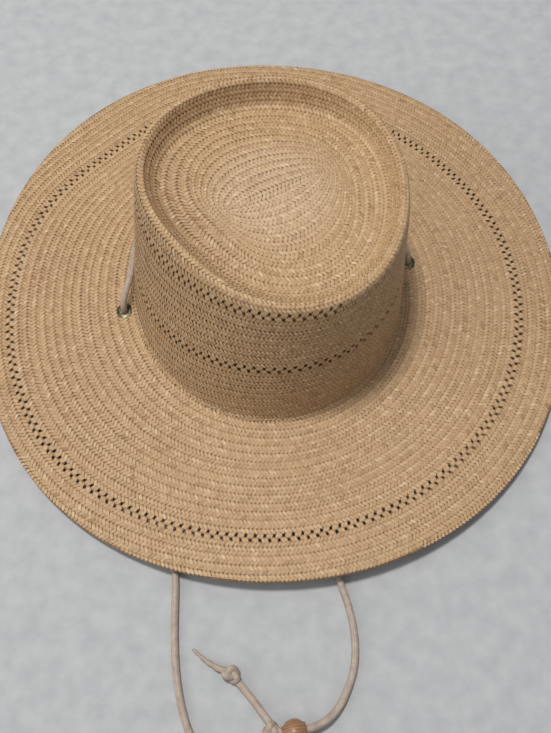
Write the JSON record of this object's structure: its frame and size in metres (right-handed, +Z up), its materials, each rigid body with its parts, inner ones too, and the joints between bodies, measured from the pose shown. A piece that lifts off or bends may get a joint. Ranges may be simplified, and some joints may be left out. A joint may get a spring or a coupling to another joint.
{
  "type": "straw sun hat",
  "caption": "Wide-brimmed woven straw sun hat with a sunken-top crown, rings of vent holes in the weave, brass side eyelets and a chin cord with a sliding wooden bead.",
  "frame": {"origin": "on the surface the hat rests on, under the middle of the brim", "axes": "+Z up out of the crown, -Y towards the front of the hat where the brim curls up, +X towards the wearer's left, which is the right side seen from the front"},
  "size_m": [0.397, 0.4889, 0.112],
  "materials": {
    "straw": "woven straw, satin",
    "thread": "cotton thread",
    "spring_wire": "drawn steel",
    "band_cloth": "cotton twill",
    "label_cloth": "woven tape",
    "eyelet_brass": "antique brass",
    "cord": "waxed cord",
    "bead_wood": "oiled wood"
  },
  "bodies": {
    "hat": {"crown": "straw", "brim": "straw", "brim_hem": "straw", "hem_stitching": "thread", "brim_edge_wire": "spring_wire", "wire_sleeve": "spring_wire", "sweatband": "band_cloth", "sweatband_stitching": "thread", "label_stitching": "thread", "eyelet_left": "eyelet_brass", "washer_left": "eyelet_brass", "eyelet_right": "eyelet_brass", "washer_right": "eyelet_brass", "slip_knot": "cord", "tail_knot": "cord", "tail_tip": "cord", "cord_left": "cord", "cord_right": "cord", "cord_back": "cord"},
    "bead": {"wood_bead": "bead_wood"},
    "label": {"size_label": "label_cloth"}
  },
  "joints": [
    {"name": "bead_slide", "type": "slide", "parent": "hat", "child": "bead", "axis": [0.9997, 0.0227, 0], "range_m": [0, 0.007]},
    {"name": "label_flap", "type": "hinge", "parent": "hat", "child": "label", "pos_m": [0, 0.09215, 0.0376], "axis": [-1, 0, 0], "range_deg": [0, 120]}
  ]
}
